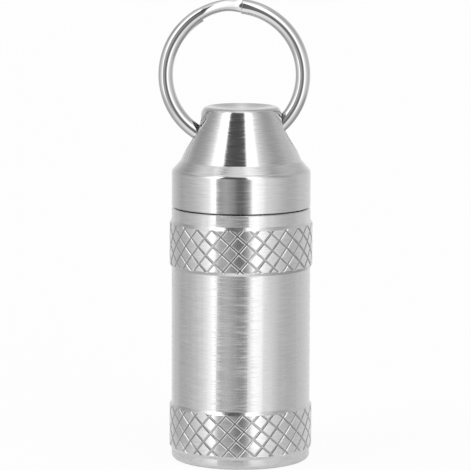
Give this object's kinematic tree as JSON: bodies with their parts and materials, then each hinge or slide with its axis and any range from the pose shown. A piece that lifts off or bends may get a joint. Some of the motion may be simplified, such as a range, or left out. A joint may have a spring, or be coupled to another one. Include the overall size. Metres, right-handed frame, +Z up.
{
  "type": "waterproof key ring pill box",
  "caption": "Stainless steel screw-top canister with knurled bands, a conical cap sealed by a rubber ring, and a split ring through the cap.",
  "frame": {"origin": "middle of the canister's flat base", "axes": "+Z up along the box's turning axis to the split ring, front towards -Y, the cap's cross hole along X"},
  "size_m": [0.02, 0.0186, 0.06],
  "materials": {
    "canister_steel": "fine turned, satin",
    "cap_steel": "fine turned, satin",
    "seal_rubber": "matt black",
    "ring_nickel": "bright nickel plate"
  },
  "bodies": {
    "canister_body": {"canister": "canister_steel"},
    "seal_body": {"seal_ring": "seal_rubber"},
    "cap_body": {"cap": "cap_steel"},
    "ring_body": {"split_ring": "ring_nickel"}
  },
  "joints": [
    {"name": "cap_lift", "type": "slide", "parent": "canister_body", "child": "seal_body", "axis": [0, 0, 1], "range_m": [0, 0.009]},
    {"name": "cap_unscrew", "type": "hinge", "parent": "seal_body", "child": "cap_body", "pos_m": [0, 0, 0.03313], "axis": [0, 0, 1], "range_deg": [0, 2160]},
    {"name": "ring_swing", "type": "hinge", "parent": "cap_body", "child": "ring_body", "pos_m": [0, 0, 0.0427], "axis": [0.9976, 0, 0.0698], "range_deg": [-90, 90]}
  ],
  "couplings": [
    {"joint": "cap_lift", "follows": "cap_unscrew", "m_per_rad": 0.00023873}
  ]
}
